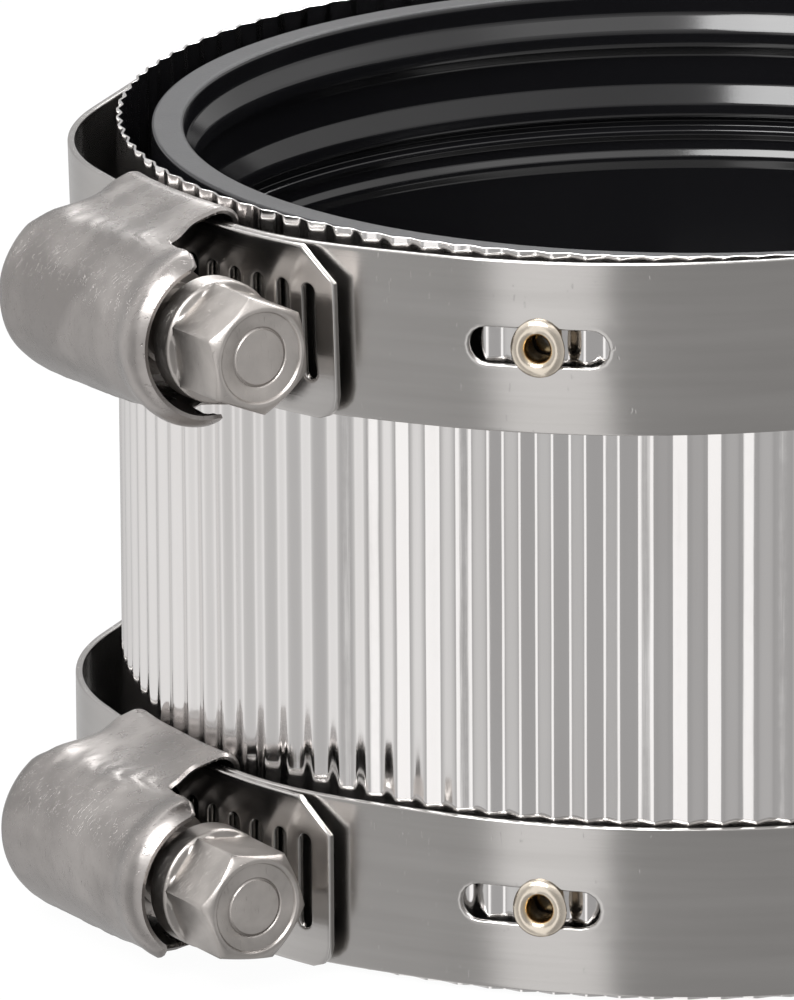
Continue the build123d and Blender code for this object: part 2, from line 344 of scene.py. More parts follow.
def shield_material():
    """Bright cold-rolled sheet with faint vertical drawing lines."""
    material, tree, shader = new_material("shield_steel")
    position = object_position(tree)
    cloud = stretched_noise(tree, position, 120, (1, 1, 0.35), 3.0)
    lines = stretched_noise(tree, position, 3200, (1, 1, 0.03), 2.0)
    specks = stretched_noise(tree, position, 1500, (1, 1, 0.6), 4.0)
    colour = mix_colour(tree, cloud, (0.72, 0.70, 0.69), (0.80, 0.79, 0.785))
    roughness = calc(tree, "MULTIPLY_ADD", specks, 0.12, 0.045)
    height = calc(tree, "MULTIPLY_ADD", cloud, 2.0, calc(tree, "MULTIPLY", lines, 0.12))
    normal = bump(tree, height, 0.05 * MM, 0.5)
    feed(tree, shader, colour=colour, metallic=1.0, roughness=roughness, normal=normal)
    return material


def strap_material():
    """Rolled strap: brushed along its length, so reflections smear across it."""
    material, tree, shader = new_material("strap_steel")
    sheet = add_node(tree, "ShaderNodeUVMap", uv_map="sheet").outputs[0]
    upright = add_node(tree, "ShaderNodeCombineXYZ", {"X": 0.0, "Y": 0.0, "Z": 1.0}).outputs[0]
    position = object_position(tree)
    brushed = stretched_noise(tree, sheet, 1.0, (0.05, 6.0, 1.0), 4.0)
    broad = stretched_noise(tree, sheet, 1.0, (0.03, 0.5, 1.0), 3.0)
    cloud = stretched_noise(tree, position, 160, (1, 1, 1), 3.0)
    marks = scratches(tree, position, 600, (0.2, 0.6, 1.3), 0.70)
    colour = mix_colour(tree, broad, (0.40, 0.388, 0.376), (0.54, 0.527, 0.514))
    roughness = calc(tree, "MULTIPLY_ADD", brushed, 0.09, 0.10)
    roughness = calc(tree, "MULTIPLY_ADD", cloud, 0.08, roughness)
    height = calc(tree, "MULTIPLY_ADD", brushed, 0.6, calc(tree, "MULTIPLY", marks, -0.5))
    normal = bump(tree, height, 0.03 * MM, 0.35)
    feed(tree, shader, colour=colour, metallic=1.0, roughness=roughness, normal=normal)
    feed(tree, shader, anisotropic=0.5, tangent=upright)
    return material


def eyelet_material():
    """Nickel-plated rim with brass showing inside the bore."""
    material, tree, shader = new_material("eyelet_metal")
    position = object_position(tree)
    across = calc(tree, "ADD", *(calc(tree, "POWER", axis, 2.0) for axis in separate(tree, position)[:2]))
    radius = calc(tree, "SQRT", across)
    bore = ramp(tree, calc(tree, "MULTIPLY", radius, 400), [(0.40, 1.0), (0.56, 0.0)])
    cloud = stretched_noise(tree, position, 900, (1, -1, 1), 4.0)
    rim = mix_colour(tree, cloud, (0.60, 0.53, 0.44), (0.80, 0.73, 0.63))
    colour = mix_colour(tree, bore, rim, (0.62, 0.42, 0.16))
    roughness = calc(tree, "MULTIPLY_ADD", cloud, 0.2, 0.12)
    normal = bump(tree, cloud, 0.1 * MM, 0.3)
    feed(tree, shader, colour=colour, metallic=1.0, roughness=roughness, normal=normal)
    return material


def rubber_material():
    """Moulded rubber: matt on the cut rim, glossy inside where the mould was polished."""
    material, tree, shader = new_material("gasket_rubber")
    position = object_position(tree)
    normal = add_node(tree, "ShaderNodeNewGeometry").outputs["Normal"]
    facing = calc(tree, "ABSOLUTE", separate(tree, normal)[2])
    height = calc(tree, "ABSOLUTE", separate(tree, position)[2])
    at_end = calc(tree, "GREATER_THAN", height, (size_mm("gasket")[1].z - 0.25) * MM)
    rim = calc(tree, "MULTIPLY", at_end, ramp(tree, facing, [(0.55, 0.0), (0.8, 1.0)]))
    cloud = stretched_noise(tree, position, 250, (1, 1, 1), 4.0)
    grain = stretched_noise(tree, position, 5000, (1, 1, 1), 3.0)
    colour = mix_colour(tree, rim, (0.006, 0.006, 0.007), (0.026, 0.026, 0.028))
    rough_inside = calc(tree, "MULTIPLY_ADD", cloud, 0.08, 0.09)
    rough_rim = calc(tree, "MULTIPLY_ADD", cloud, 0.1, 0.42)
    rougher = calc(tree, "MULTIPLY", rim, calc(tree, "SUBTRACT", rough_rim, rough_inside))
    roughness = calc(tree, "ADD", rough_inside, rougher)
    specular = calc(tree, "MULTIPLY_ADD", rim, -0.47, 0.65)
    pores = calc(tree, "MULTIPLY", grain, calc(tree, "MULTIPLY_ADD", rim, 0.9, 0.06))
    normal = bump(tree, pores, 0.03 * MM, 0.6)
    feed(tree, shader, colour=colour, roughness=roughness, specular=specular, normal=normal)
    return material


RUBBER = rubber_material()
SHIELD = shield_material()
STRAP = strap_material()
# The last argument sets how much painted shade darkens each steel's crevices.
HOUSING = steel_material("housing_steel", (0.45, 0.424, 0.409), 0.20, 0.32, 1.3, crevice_shade=0.7)
SCREW = steel_material("screw_steel", (0.65, 0.612, 0.582), 0.30, 0.36, 1.2, crevice_shade=0.8)
EYELET = eyelet_material()


# ---------------- gasket
def build_gasket():
    """The sleeve, turned from (radius, height) corners: ribs near both ends and a stop in the middle."""
    low, high = size_mm("gasket")
    centre = ((low.x + high.x) / 2, (low.y + high.y) / 2)
    outer = (high.x - low.x) / 2
    half = high.z
    wall, crest, stop = outer - 2.7, outer - 3.4, outer - 6.4
    stop_half = 1.6
    upper_half = [
        ((outer, half), 0.35),
        ((wall - 0.05, half), 0.5),
        ((wall, half - 1.9), 0.8),
        ((crest - 0.25, half - 3.3), 0.9),
        ((crest - 0.25, half - 4.5), 0.9),
        ((wall + 0.1, half - 5.6), 0.5),
        ((wall, half - 8.2), 0.6),
        ((crest - 0.1, half - 9.8), 0.8),
        ((crest - 0.1, half - 10.8), 0.5),
        ((wall + 0.1, half - 11.4), 0.15),
        ((wall + 0.1, half - 11.9), 0.15),
        ((crest + 0.25, half - 12.2), 0.2),
        ((crest + 0.25, half - 12.6), 0.2),
        ((wall + 0.1, half - 13.1), 0.2),
        ((wall, half - 14.0), 0.3),
        ((crest + 0.3, half - 14.5), 0.3),
        ((crest + 0.3, half - 14.9), 0.3),
        ((wall, half - 15.6), 0.4),
        ((wall, stop_half + 1.5), 0.8),
        ((stop, stop_half), 0.6),
    ]
    lower_half = [((r, -h), radius) for (r, h), radius in reversed(upper_half)]
    points, radii = zip(*(upper_half + lower_half))
    verts, faces = lathe(round_corners(points, radii), 288, centre)
    obj = make_object("gasket_sleeve", verts, faces, crease=60)
    stand_in(obj, "gasket", "gasket_body")
    finish_piece(obj, RUBBER)


# ---------------- shield
FLUTES = 108
LAP_FLUTES = 7  # flutes that lie double where the sheet's ends overlap
SEAM_ANGLE = -10
SPIRAL_STEP = 0.4  # how much the sheet's radius grows in one turn, so that its ends pass each other
SHEET = 0.2
FLUTE_DEPTH = 0.34
FLUTE_COLUMNS = 14
SHIELD_RADIUS = 47.7
EYELET_ANGLE = 255.7
EYELET_HOLE = 1.5  # half the side of the square cut-out behind each eyelet's flange


def flute_wave(t):
    """Depth share of a flute at t of its pitch: two nearly flat flanks with rounded crest and valley."""
    samples = 64
    rounding = 0.34
    total = 0.0
    table = [0.0]
    for k in range(samples):
        slope = math.sin(2 * math.pi * (k + 0.5) / samples)
        total += slope / math.sqrt(slope * slope + rounding * rounding)
        table.append(total)
    at = (t % 1.0) * samples
    k = int(at)
    return lerp(table[k], table[min(k + 1, samples)], at - k) / max(table)


def build_shield():
    high = size_mm("shield")[1]
    half = high.z
    pitch = 360 / FLUTES
    flutes = FLUTES + LAP_FLUTES
    inner_end = high.x - SPIRAL_STEP * flutes / FLUTES
    eyelet_levels = [sum(corner.z for corner in size_mm(f"{side}_eyelet")) / 2 for side in ("lower", "upper")]
    edge = 0.12  # a narrow row at each end keeps the rim crisp
    levels = [-half, -half + edge]
    for level in eyelet_levels:
        levels += [level - EYELET_HOLE, level + EYELET_HOLE]
    levels += [half - edge, half]
    heights = []
    for a, b in zip(levels, levels[1:]):
        heights += spread(a, b, 1.3)[:-1]
    heights.append(half)

    wave = [flute_wave(k / FLUTE_COLUMNS) for k in range(FLUTE_COLUMNS)]
    columns = []
    for c in range(flutes * FLUTE_COLUMNS + 1):
        angle = c / FLUTE_COLUMNS * pitch
        depth = FLUTE_DEPTH * wave[c % FLUTE_COLUMNS]
        columns.append((math.radians(SEAM_ANGLE + angle), inner_end + SPIRAL_STEP * angle / 360 - depth))
    rows = []
    for z in heights:
        row = []
        for turn, radius in columns:
            swell = noise.noise(Vector((math.cos(turn) * 9, math.sin(turn) * 9, z / 16)))
            ripple = noise.noise(Vector((turn * 30, z / 9, 4.2)))
            r = radius + 0.022 * swell + 0.008 * ripple  # rolled sheet is never quite even
            row.append(Vector((r * math.cos(turn), r * math.sin(turn), z)))
        rows.append(row[::-1])

    eyelet_turn = math.radians(EYELET_ANGLE - SEAM_ANGLE)
    last_column = len(columns) - 1

    def column_at(along):
        """Column nearest to a place so many millimetres along the sheet from the eyelet's middle."""
        return last_column - round(math.degrees(eyelet_turn + along / SHIELD_RADIUS) / pitch * FLUTE_COLUMNS)

    def row_at(level):
        return min(range(len(heights)), key=lambda i: abs(heights[i] - level))

    holes = []
    for level in eyelet_levels:
        first = (row_at(level - EYELET_HOLE), column_at(EYELET_HOLE))
        last = (row_at(level + EYELET_HOLE), column_at(-EYELET_HOLE))
        holes.append((first, last))
    verts, faces = thick_sheet(rows, SHEET, 0.2, holes)
    obj = make_object("shield_sheet", verts, faces, crease=55, weighted=False)
    stand_in(obj, "shield", "shield_body")
    finish_piece(obj, SHIELD)


# ---------------- clamp frame
def joint(name):
    return next(j for j in frame["joints"] if j["name"] == name)


def clamp_place(side):
    """Matrix from the clamp's own frame (housing on +X, hex head toward +Y) to the frame, in millimetres."""
    y_axis = -Vector(joint(f"{side}_screw_turn")["axis"])
    z_axis = Vector(joint(f"{side}_tail_feed")["axis"])
    x_axis = y_axis.cross(z_axis)
    origin = Vector(joint(f"{side}_clamp_shift")["pos_m"]) / MM
    return Matrix.Translation(origin) @ Matrix((x_axis, y_axis, z_axis)).transposed().to_4x4()


SCREW_X = Vector(joint("lower_screw_turn")["pos_m"]).xy.length / MM
SCREW_Z = (joint("lower_screw_turn")["pos_m"][2] - joint("lower_clamp_shift")["pos_m"][2]) / MM
TAIL_CENTRE = -Vector(joint("lower_tail_feed")["pos_m"]).xy.length / MM
TAIL_RADIUS = 60.0  # the tail's arc through the housing
LOOP_RADIUS = 48.55
UNDER_RADIUS = 59.3  # the loop's hidden end, under the tail
STRAP_HALF = (size_mm("lower_band")[1].z - size_mm("lower_band")[0].z) / 2
STRAP_THICK = 0.6
LOOP_EDGE, TAIL_EDGE = 0.16, 0.14  # radii of the rounded edges
PITCH = 2.8
LAND_ANGLE = -54.0  # where the tail's bulge comes down on the shield
BULGE_RADIUS = 27.0
BULGE_LEAVE_Y = -9.0
UNDER_ANGLES = [math.degrees(math.asin(y / UNDER_RADIUS)) for y in (-8.0, 9.0)]
UNDER_LAND_ANGLE = 31.0
SLOT_ANGLE = 41.8
FLOAT_SLOT = (11.7, 3.1)
WORM_SLOT = (8.0, 1.35)
TAIL_TIP_Y = 19.0


def arc_points(centre, radius, start, end, step=0.6):
    span = math.radians(abs(end - start)) * radius
    return [Vector(centre) + polar(radius, a) for a in spread(start, end, abs(end - start) * step / span)]


class Track:
    """A plane curve with its length as parameter; the outward normal is on the right of the way."""

    def __init__(self, points, start=0.0):
        self.points = [points[0]]
        for p in points[1:]:
            if (p - self.points[-1]).length > 1e-6:
                self.points.append(p)
        self.lengths = [start]
        for a, b in zip(self.points, self.points[1:]):
            self.lengths.append(self.lengths[-1] + (b - a).length)

    def at(self, s):
        """Point and outward normal at length s."""
        low = min(bisect_left(self.lengths, s, lo=1), len(self.points) - 1) - 1
        a, b = self.points[low], self.points[low + 1]
        t = (s - self.lengths[low]) / (self.lengths[low + 1] - self.lengths[low])

        def direction(i):
            i = min(max(i, 1), len(self.points) - 2)
            return (self.points[i + 1] - self.points[i - 1]).normalized()

        way = direction(low).lerp(direction(low + 1), min(max(t, 0), 1)).normalized()
        return a.lerp(b, t), Vector((way.y, -way.x))

    def length_near(self, point):
        best = min(range(len(self.points)), key=lambda i: (self.points[i] - point).length)
        return self.lengths[best]


def loop_track():
    """The strap's loop, from its hidden end under the tail round to where the tail's bulge starts."""
    first, last = UNDER_ANGLES
    hidden = arc_points((TAIL_CENTRE, 0), UNDER_RADIUS, first, last)
    start = hidden[-1]
    end = polar(LOOP_RADIUS, UNDER_LAND_ANGLE)
    handle = (end - start).length / 3
    handles = start + polar(handle, last + 90), end - polar(handle, UNDER_LAND_ANGLE + 90)
    steps = 24
    between = [point.xy for point in interpolate_bezier(start, *handles, end, steps + 1)[1:-1]]
    return hidden + between + arc_points((0, 0), LOOP_RADIUS, UNDER_LAND_ANGLE, 360 + LAND_ANGLE)


def tail_track():
    """The strap's other end, from the loop over the bulge and through the housing to the tip."""
    heading = math.degrees(math.asin(-BULGE_LEAVE_Y / TAIL_RADIUS))
    turn = -LAND_ANGLE - heading
    start = Vector((TAIL_CENTRE + math.sqrt(TAIL_RADIUS**2 - BULGE_LEAVE_Y**2), BULGE_LEAVE_Y))
    land = polar(LOOP_RADIUS, LAND_ANGLE)
    out_dir = polar(1, -90 - heading)
    back_dir = polar(1, LAND_ANGLE + 90)
    gap = start - land
    along = (gap.x * out_dir.y - gap.y * out_dir.x) / (back_dir.x * out_dir.y - back_dir.y * out_dir.x)
    corner = land + back_dir * along
    depth = BULGE_RADIUS / math.cos(math.radians(turn / 2))
    centre = corner - polar(depth, (LAND_ANGLE - heading) / 2)
    arc = arc_points(centre, BULGE_RADIUS, LAND_ANGLE, LAND_ANGLE + turn, 0.3)
    steps = 16
    line_in = [land.lerp(arc[0], k / steps) for k in range(steps)]
    line_out = [arc[-1].lerp(start, k / steps) for k in range(1, steps)]
    tip_angle = math.degrees(math.asin(TAIL_TIP_Y / TAIL_RADIUS))
    return line_in + arc + line_out + arc_points((TAIL_CENTRE, 0), TAIL_RADIUS, -heading, tip_angle)


# ---------------- strap plates
def resample(outline, step):
    """The closed outline with points at most a step apart."""
    made = []
    for i, p in enumerate(outline):
        q = outline[(i + 1) % len(outline)]
        count = max(1, math.ceil(math.dist(p, q) / step))
        made += [(lerp(p[0], q[0], k / count), lerp(p[1], q[1], k / count)) for k in range(count)]
    return made


def ring_moves(outline):
    """Inward unit moves of a ring's points (material on the left); the cut edge at s = 0 keeps its place."""
    moves = []
    count = len(outline)

    def edge(a, b):
        dx, dy = b[0] - a[0], b[1] - a[1]
        size = math.hypot(dx, dy)
        on_cut = max(abs(a[0]), abs(b[0])) < 1e-6
        return (-dy / size, dx / size), 0.0 if on_cut else 1.0

    for i in range(count):
        (n1, d1), (n2, d2) = edge(outline[i - 1], outline[i]), edge(outline[i], outline[(i + 1) % count])
        cross = n1[0] * n2[1] - n1[1] * n2[0]
        if abs(cross) < 0.05:
            size = math.hypot(n1[0] + n2[0], n1[1] + n2[1])
            mean = (d1 + d2) / 2
            moves.append(((n1[0] + n2[0]) / size * mean, (n1[1] + n2[1]) / size * mean))
        else:
            moves.append(((d1 * n2[1] - d2 * n1[1]) / cross, (d2 * n1[0] - d1 * n2[0]) / cross))
    return moves


def inside(point, ring):
    """Whether the point lies in the ring, by counting crossings."""
    x, y = point
    hit = False
    for i in range(len(ring)):
        (x0, y0), (x1, y1) = ring[i - 1], ring[i]
        if (y0 > y) != (y1 > y) and x < (x1 - x0) * (y - y0) / (y1 - y0) + x0:
            hit = not hit
    return hit


def in_material(point, borders):
    """Whether the point lies inside the first border and outside the others."""
    return inside(point, borders[0]) and not any(inside(point, hole) for hole in borders[1:])


def fill_points(borders, grid):
    """Grid points in the material and not too near to any border."""
    near = 0.42 * grid
    cells = {}
    for border in borders:
        for c in resample(border, grid / 5):
            cells.setdefault((round(c[0] / grid), round(c[1] / grid)), []).append(c)

    def clear(s, z):
        ks, kz = round(s / grid), round(z / grid)
        around = [cells.get((i, j), ()) for i in (ks - 1, ks, ks + 1) for j in (kz - 1, kz, kz + 1)]
        return all(math.dist(c, (s, z)) >= near for cell in around for c in cell)

    s_values, z_values = zip(*borders[0])
    made = []
    for s in spread(min(s_values), max(s_values), grid)[1:-1]:
        for z in spread(min(z_values), max(z_values), grid * 1.3)[1:-1]:
            if clear(s, z) and in_material((s, z), borders):
                made.append((s, z))
    return made


def edge_profile(thickness, edge):
    """(inward offset, height) steps over a plate's rounded edge, from its upper face to its lower one."""
    steps = 3
    upper = [(edge + 0.22, thickness / 2)]  # a ring just inside the rounding keeps the face's shading flat
    for k in range(steps + 1):
        a = math.pi / 2 * k / steps
        upper.append((edge * (1 - math.sin(a)), thickness / 2 - edge * (1 - math.cos(a))))
    return upper + [(offset, -height) for offset, height in reversed(upper)]


def plate(outline, holes, thickness, edge, bend, grid):
    """A bent plate with holes and edges rounded by the radius edge; also the (s, z) of each point.

    outline runs anticlockwise and holes clockwise in (s, z); bend maps (s, z, height) to a point.
    """
    profile = edge_profile(thickness, edge)
    flat = []
    faces = []
    borders = []
    coords, upper, lower = [], [], []  # the faces' points, and the vertex that each has above and below
    edges = []
    for ring in (resample(outline, grid), *(resample(hole, grid) for hole in holes)):
        moves = ring_moves(ring)
        base, first, count = len(flat), len(coords), len(ring)
        for offset, height in profile:
            flat += [(s + ms * offset, z + mz * offset, height) for (s, z), (ms, mz) in zip(ring, moves)]
        for k in range(len(profile) - 1):
            for i in range(count):
                a, b = base + k * count + i, base + k * count + (i + 1) % count
                faces.append((a, a + count, b + count, b))
        borders.append([point[:2] for point in flat[base : base + count]])
        coords += borders[-1]
        upper += range(base, base + count)
        lower += range(len(flat) - count, len(flat))
        edges += [(first + i, first + (i + 1) % count) for i in range(count)]
    for s, z in fill_points(borders, grid):
        coords.append((s, z))
        upper.append(len(flat))
        lower.append(len(flat) + 1)
        flat += [(s, z, thickness / 2), (s, z, -thickness / 2)]
    points, _, triangles, origins, *_ = delaunay_2d_cdt([Vector(c) for c in coords], edges, [], 0, 1e-7)
    for triangle in triangles:
        a, b, c = (points[i] for i in triangle)
        sliver = abs((b - a).cross(c - a)) < 1e-4
        if not sliver and in_material((a + b + c) / 3, borders):
            corners = [origins[i][0] for i in triangle]
            faces.append(tuple(upper[i] for i in corners))
            faces.append(tuple(lower[i] for i in reversed(corners)))
    return [bend(s, z, h) for s, z, h in flat], faces, [(s, z) for s, z, _ in flat]


def slot_ring(s, z, length, width, along_s):
    """A clockwise ring round an oblong hole."""
    ring = []
    half = (length - width) / 2
    steps = 8
    for side in (1, -1):
        for k in range(steps + 1):
            a = math.pi / 2 * side - math.pi * k / steps
            du, dv = side * half + width / 2 * math.cos(a), width / 2 * math.sin(a)
            ring.append((s + du, z + dv) if along_s else (s + dv, z - du))
    return ring


def strap_bend(track):
    def bend(s, z, height):
        point, normal = track.at(s)
        p = point + normal * height
        return (p.x, p.y, z)

    return bend


def build_strap(side):
    place = clamp_place(side)
    z = STRAP_HALF
    track = Track(loop_track())
    track = Track(track.points, start=-track.lengths[-1])
    start = track.lengths[0]
    outline = [(start, -z), (0.0, -z), (0.0, z), (start, z)]
    slot_s = track.length_near(polar(LOOP_RADIUS, SLOT_ANGLE))
    slots = [slot_ring(slot_s, 0.0, *FLOAT_SLOT, True)]
    verts, faces, uvs = plate(outline, slots, STRAP_THICK, LOOP_EDGE, strap_bend(track), 1.1)
    loop = make_object(f"{side}_strap_loop", verts, faces, place, 40, uvs=uvs)
    stand_in(loop, f"{side}_band", f"{side}_clamp")
    finish_piece(loop, STRAP)

    track = Track(tail_track())
    tip = track.lengths[-1]
    outline = [
        (0.0, -z),
        (tip - 1.9, -z),
        (tip - 0.9, -z + 0.35),
        (tip - 0.25, -z + 1.0),
        (tip, -z + 2.0),
        (tip, z - 2.8),
        (tip - 3.3, z),
        (0.0, z),
    ]
    middle = track.length_near(Vector((TAIL_CENTRE + TAIL_RADIUS, 0)))
    slots = [slot_ring(middle + k * PITCH, 0.0, *WORM_SLOT, False) for k in range(-4, 7)]
    verts, faces, uvs = plate(outline, slots, STRAP_THICK, TAIL_EDGE, strap_bend(track), 0.9)
    tail = make_object(f"{side}_strap_tail", verts, faces, place, 40, uvs=uvs)
    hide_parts(f"{side}_band_tail")
    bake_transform(tail)
    finish_piece(tail, STRAP)


# ---------------- housing
DOME_RADIUS = 6.55
CREASE_FAR, CREASE_WAIST, CREASE_LIP = 68.0, 80.0, 88.0  # degrees that the dome reaches round, by height
WAIST_Y = 7.0
CURL_RADIUS = 1.1  # the wing's foot curls in under the strap
CURL_SIDE = 7.75
CURL_BOTTOM = 48.4
CURL_REACH = 1.9
HEEL_X = 50.65  # the line that the stamping's far end closes toward
FAR_Y = -11.3
WING_FAR_MID_Y = -10.6
WING_FAR_Y = -8.9
FAR_ROUND = 2.5
LIP_Y = 12.1
LIP_FROM = 8.2
LIP_SWELL_Y = 10.9  # the lip is widest here and rolls in toward its edge
LIP_SWELL = 0.55
LIP_ROLL = 0.75
NOTCH_Y = 6.6
WING_MID_Y = 5.2
WING_Y = 5.7
HOUSING_SHEET = 0.55
# Where the lip ends and the notch before the wing follows, as zones; the two stampings differ at the bottom.
LIP_ENDS = {
    ("upper", 1): (0.84, 1.12),
    ("upper", -1): (1.06, 1.32),
    ("lower", 1): (0.84, 1.12),
    ("lower", -1): (0.50, 0.92),
}
# How much the lip's swell fades from the apex to the crease.
SWELL_FADE = {("upper", 1): 0.35, ("upper", -1): 0.35, ("lower", 1): 0.35, ("lower", -1): 2.0}
CRIMP_DEPTH = {"upper": 0.06, "lower": 0.14}


def section_point(side, zone, y, sign):
    """Point (x, z) of one half of the stamped section at height y; z grows away from the middle.

    zone runs from 0 at the dome's apex to 1 at the crease, 2 at the wing's foot and 3 at the curl's edge.
    """
    crease_angle = CREASE_FAR + (CREASE_WAIST - CREASE_FAR) * smoothstep(0, WAIST_Y, y)
    crease_angle += (CREASE_LIP - CREASE_WAIST) * smoothstep(WAIST_Y, LIP_Y, y)
    middle = Vector((SCREW_X, SCREW_Z * sign))
    if zone <= 1:
        fade = 1 - SWELL_FADE[side, sign] * zone**2
        radius = DOME_RADIUS + LIP_SWELL * smoothstep(LIP_FROM, LIP_SWELL_Y, y) * fade
        radius -= LIP_ROLL * max(0.0, (y - LIP_SWELL_Y) / (LIP_Y - LIP_SWELL_Y)) ** 2
        return middle + polar(radius, crease_angle * zone)
    crease = section_point(side, 1.0, y, sign)
    centre = Vector((CURL_BOTTOM + CURL_RADIUS, CURL_SIDE - CURL_RADIUS))
    reach = centre - crease
    tangent = math.atan2(reach.y, reach.x) - math.asin(CURL_RADIUS / reach.length)
    foot = crease + polar(math.sqrt(reach.length**2 - CURL_RADIUS**2), math.degrees(tangent))
    if zone <= 2:
        return crease.lerp(foot, zone - 1)
    start = math.degrees(math.atan2(foot.y - centre.y, foot.x - centre.x))
    if zone <= 2.6:
        return centre + polar(CURL_RADIUS, lerp(start, 180.0, (zone - 2) / 0.6))
    return Vector((CURL_BOTTOM, centre.y - CURL_REACH * (zone - 2.6) / 0.4))


def build_housing(side):
    """One stamping, in rows from the closed far end to the lip round the screw's collar."""
    half = [k / 22 for k in range(23)] + [1 + k / 12 for k in range(1, 13)]
    half += [2 + 0.6 * k / 12 for k in range(1, 13)] + [2.6 + 0.4 * k / 5 for k in range(1, 6)]
    section = [(-1, zone) for zone in reversed(half[1:])] + [(1, zone) for zone in half]
    heel = Vector((HEEL_X, 0.0))
    seed = 3.1 if side == "upper" else 11.7
    body_steps = 48

    def near_edge(sign, zone):
        lip_end, notch = LIP_ENDS[side, sign]
        if zone < notch:
            return lerp(LIP_Y, NOTCH_Y, smoothstep(lip_end, notch, zone))
        if zone < 1.7:
            return lerp(NOTCH_Y, WING_MID_Y, smoothstep(notch, 1.7, zone))
        return lerp(WING_MID_Y, WING_Y, smoothstep(1.7, 2.4, zone))

    def far_edge(zone):
        if zone < 1:
            return lerp(FAR_Y, WING_FAR_MID_Y, smoothstep(0.8, 1.0, zone))
        return lerp(WING_FAR_MID_Y, WING_FAR_Y, smoothstep(1.0, 1.9, zone))

    def surface(sign, zone, y, shrink):
        p = section_point(side, zone, y, sign)
        sink = TAIL_RADIUS - math.sqrt(TAIL_RADIUS**2 - y * y)
        p.x -= sink * smoothstep(1.0, 2.0, zone)
        closing = 1 - smoothstep(1.25, 1.9, zone)
        p = heel + (p - heel) * lerp(1.0, shrink, closing)
        return Vector((p.x, y, p.y * sign))

    def dents(sign, zone, y):
        """A slightly uneven sheet, pressed in and crimped along the crease."""
        wide = noise.noise(Vector((y * 0.16, zone * 1.8 * sign, seed))) * 0.10
        near = math.exp(-(((zone - 1.0) / 0.22) ** 2))
        near *= smoothstep(-11.0, -7.5, y) * (1 - smoothstep(3.0, 5.5, y))
        crimp = noise.noise(Vector((y * 1.1, zone * 7 * sign, seed + 5))) * CRIMP_DEPTH[side]
        return wide + (crimp - 0.19) * near

    # A level is its rise from the far edge, its share of the way to the near edge, and how far it is open:
    # first the flat end, then its rounding, then the body.
    closed = 1 - FAR_ROUND / DOME_RADIUS
    levels = [(0.0, 0.0, lerp(0.03, closed, (k / 5) ** 0.8)) for k in range(6)]
    for k in range(8):
        a = math.pi / 2 * k / 7 or 0.06  # the first row stands clear of the flat end's last one
        levels.append((FAR_ROUND * (1 - math.cos(a)), 0.0, lerp(closed, 1.0, math.sin(a))))
    levels += [(FAR_ROUND, k / body_steps, 1.0) for k in range(1, body_steps + 1)]
    rows = []
    for rise, share, shrink in levels:
        row = []
        for sign, zone in section:
            far, near = far_edge(zone), near_edge(sign, zone)
            row.append(surface(sign, zone, lerp(far + rise, near, share), shrink))
        rows.append(row)
    moved = []
    for i, row in enumerate(rows):
        line = [p - grid_normal(rows, i, j) * dents(*section[j], p.y) for j, p in enumerate(row)]
        moved.append(line[::-1])

    verts, faces = thick_sheet(moved, HOUSING_SHEET, 0.35)
    name = f"{side}_housing_stamping"
    obj = make_object(name, verts, faces, clamp_place(side), crease=50, weighted=False)
    stand_in(obj, f"{side}_housing", f"{side}_clamp")
    finish_piece(obj, HOUSING)


# ---------------- screw
# Heights are along the screw in the clamp's own frame, as for the housing.
WORM_CORE = 3.4
WORM_CREST = 4.6
THREAD_FROM, THREAD_TO = -8.4, 5.6
COLLAR_RADIUS = 5.1
COLLAR_FROM, COLLAR_TO = 11.0, 13.4
NECK_RADIUS = 3.0
HEAD_TO = 19.5
HEX_HALF = 4.365
HEX_TURN = {"upper": 6, "lower": 22}
RIM_RADIUS = 4.1  # where the head's flats end in the rim round its face
RIM_SLOPE = 0.62


def hex_radius(degrees_):
    return HEX_HALF / math.cos(math.radians((degrees_ + 30) % 60 - 30))


def screw_rings():
    """Rings from the far end of the worm to the middle of the head's face, as (height, radius or kind)."""
    far, top = -10.2, HEAD_TO
    rings = [(far, 0.001), (far, 1.2), (far, WORM_CORE - 0.4), (far + 0.3, WORM_CORE)]
    thread_rows = 90
    for k in range(thread_rows + 1):
        rings.append((lerp(THREAD_FROM - 0.9, THREAD_TO + 0.7, k / thread_rows), "thread"))
    rings += [
        (THREAD_TO + 0.7, WORM_CORE - 0.05),
        (THREAD_TO + 0.75, NECK_RADIUS),
        (COLLAR_FROM, NECK_RADIUS),
        (COLLAR_FROM, COLLAR_RADIUS - 0.25),
        (COLLAR_FROM + 0.22, COLLAR_RADIUS),
        (COLLAR_TO - 0.35, COLLAR_RADIUS),
        (COLLAR_TO - 0.12, COLLAR_RADIUS - 0.08),
        (COLLAR_TO, COLLAR_RADIUS - 0.28),
        (COLLAR_TO + 0.02, "foot"),
        (COLLAR_TO + 0.12, "fillet"),
        (COLLAR_TO + 0.34, "flat"),
        (COLLAR_TO + 2.0, "flat"),
        (None, "flat's end"),
        (None, "crest"),
        (top - 0.05, RIM_RADIUS + 0.06),
        (top, RIM_RADIUS - 0.04),
    ]
    # The face: a sunk ring inside the rim, then a groove round a slightly domed middle.
    face = [(0, 3.86), (0.05, 3.77), (0.26, 3.68), (0.30, 3.58), (0.30, 2.58), (0.36, 2.50), (0.48, 2.42)]
    face += [(0.46, 2.34), (0.32, 2.24), (0.24, 1.7), (0.20, 1.0), (0.19, 0.35), (0.19, 0.001)]
    return rings + [(top - depth, radius) for depth, radius in face]


